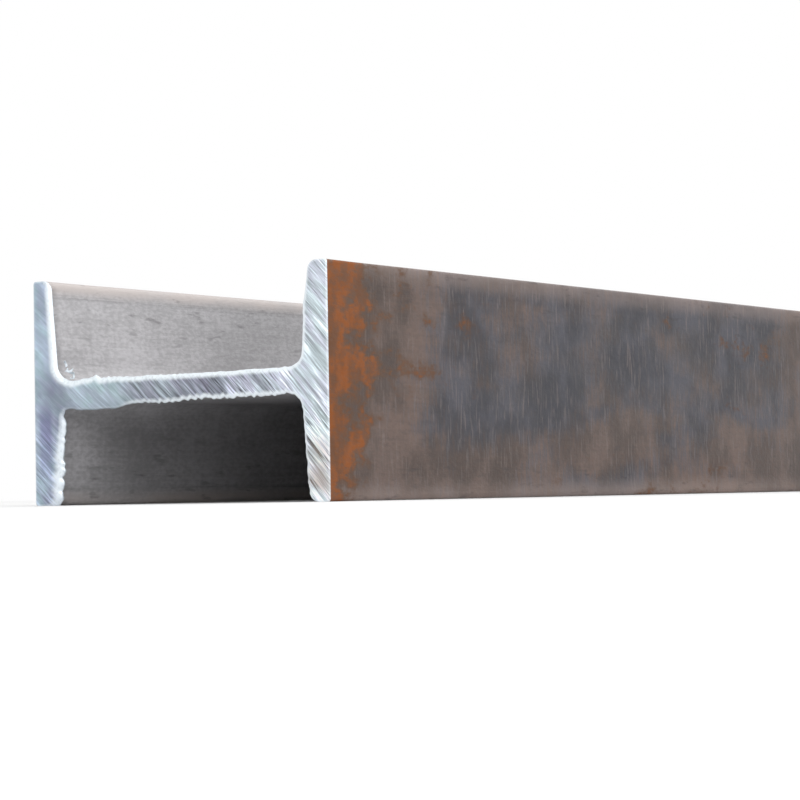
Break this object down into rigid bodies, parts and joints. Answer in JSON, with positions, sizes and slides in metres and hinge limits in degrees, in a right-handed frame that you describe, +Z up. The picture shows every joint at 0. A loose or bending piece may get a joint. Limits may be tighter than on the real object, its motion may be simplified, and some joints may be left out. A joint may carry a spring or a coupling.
{
  "type": "steel i-beam",
  "caption": "Length of hot-rolled steel I-beam with tapered flanges and sawn ends, lying on its flange toes.",
  "frame": {"origin": "middle of the beam's length and depth, on the floor that the flange toes rest on", "axes": "+Z up, across the width of the flanges; +Y along the beam; +X across its depth, from one flange to the other"},
  "size_m": [0.12, 3, 0.074],
  "materials": {
    "rolled_steel": "grey-violet mill scale with light rust on the rolled faces, bare saw-marked steel on the ends"
  },
  "bodies": {
    "root": {"i_beam": "rolled_steel"}
  },
  "joints": []
}
